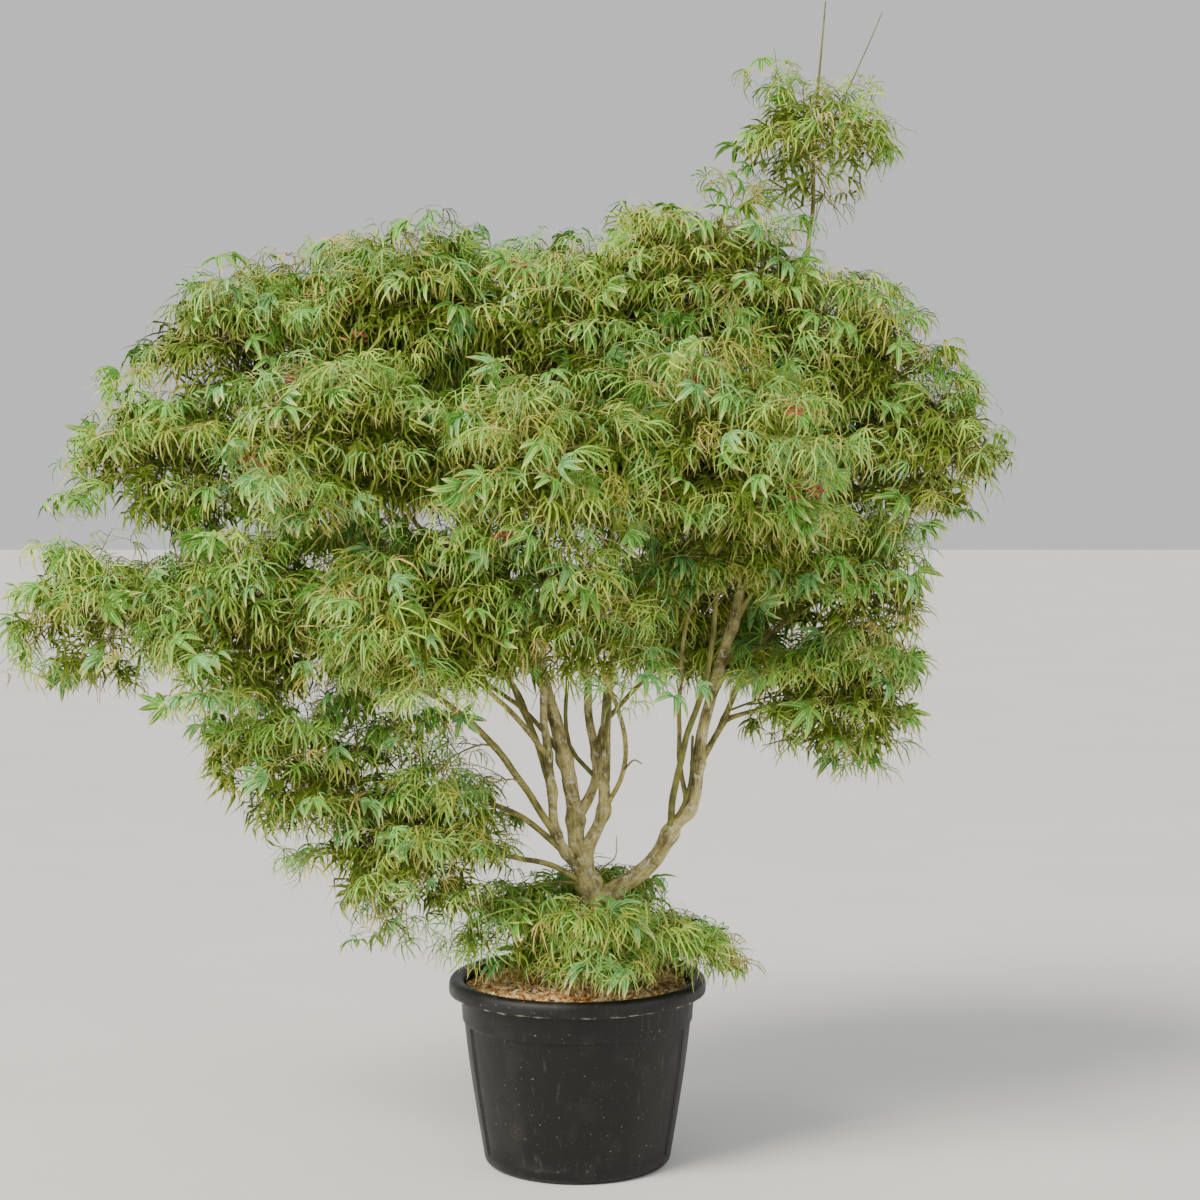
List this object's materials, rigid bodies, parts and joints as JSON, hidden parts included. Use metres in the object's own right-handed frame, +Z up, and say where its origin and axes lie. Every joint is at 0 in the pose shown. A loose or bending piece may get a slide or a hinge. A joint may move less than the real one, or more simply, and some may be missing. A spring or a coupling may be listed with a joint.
{
  "type": "potted japanese maple",
  "caption": "Multi-stemmed Japanese maple with an open, spreading green canopy, standing in a round black nursery pot filled with bark mulch.",
  "frame": {"origin": "centre of the pot's flat underside, on the floor", "axes": "+Z up, -Y towards the viewer of the front, +X to the right seen from the front"},
  "size_m": [2.3722, 1.4984, 2.6991],
  "materials": {
    "pot": "moulded, satin, scuffed",
    "mulch": "rough",
    "bark": "matte",
    "foliage": "satin leaf"
  },
  "bodies": {
    "root": {"pot": "pot", "soil": "mulch", "trunk": "bark", "centre_stem": "bark", "left_stem": "bark", "crook_stem": "bark", "inner_stem": "bark", "right_stem": "bark", "leader_stem": "bark", "green_shoot": "bark", "straight_shoot": "bark", "right_branch": "bark", "left_long_bough": "bark", "upper_left_bough": "bark", "low_left_bough": "bark", "lower_left_bough": "bark", "left_low_bough": "bark", "low_front_left_bough": "bark", "left_front_bough": "bark", "centre_front_bough": "bark", "low_front_centre_bough": "bark", "top_left_bough": "bark", "right_shoulder_bough": "bark", "right_tip_bough": "bark", "right_lower_bough": "bark", "back_left_bough": "bark", "back_right_bough": "bark", "back_low_left_bough": "bark", "back_low_right_bough": "bark", "foliage_top_left_tip": "foliage", "foliage_top_left": "foliage", "foliage_top_centre": "foliage", "foliage_top_right": "foliage", "foliage_leader_tuft": "foliage", "foliage_right_shoulder": "foliage", "foliage_left_shoulder": "foliage", "foliage_left_front": "foliage", "foliage_centre_front": "foliage", "foliage_right_front": "foliage", "foliage_right_tip": "foliage", "foliage_back_left": "foliage", "foliage_back_centre": "foliage", "foliage_back_right": "foliage", "foliage_far_left": "foliage", "foliage_left_low": "foliage", "foliage_low_front_left": "foliage", "foliage_low_front_centre": "foliage", "foliage_low_front_right": "foliage", "foliage_right_low": "foliage", "foliage_back_low_left": "foliage", "foliage_back_low_right": "foliage", "foliage_lower_left": "foliage", "foliage_low_left_tip": "foliage", "foliage_right_lower": "foliage", "foliage_skirt_left": "foliage", "foliage_skirt_right": "foliage", "foliage_skirt_front": "foliage", "foliage_skirt_back": "foliage"}
  },
  "joints": []
}
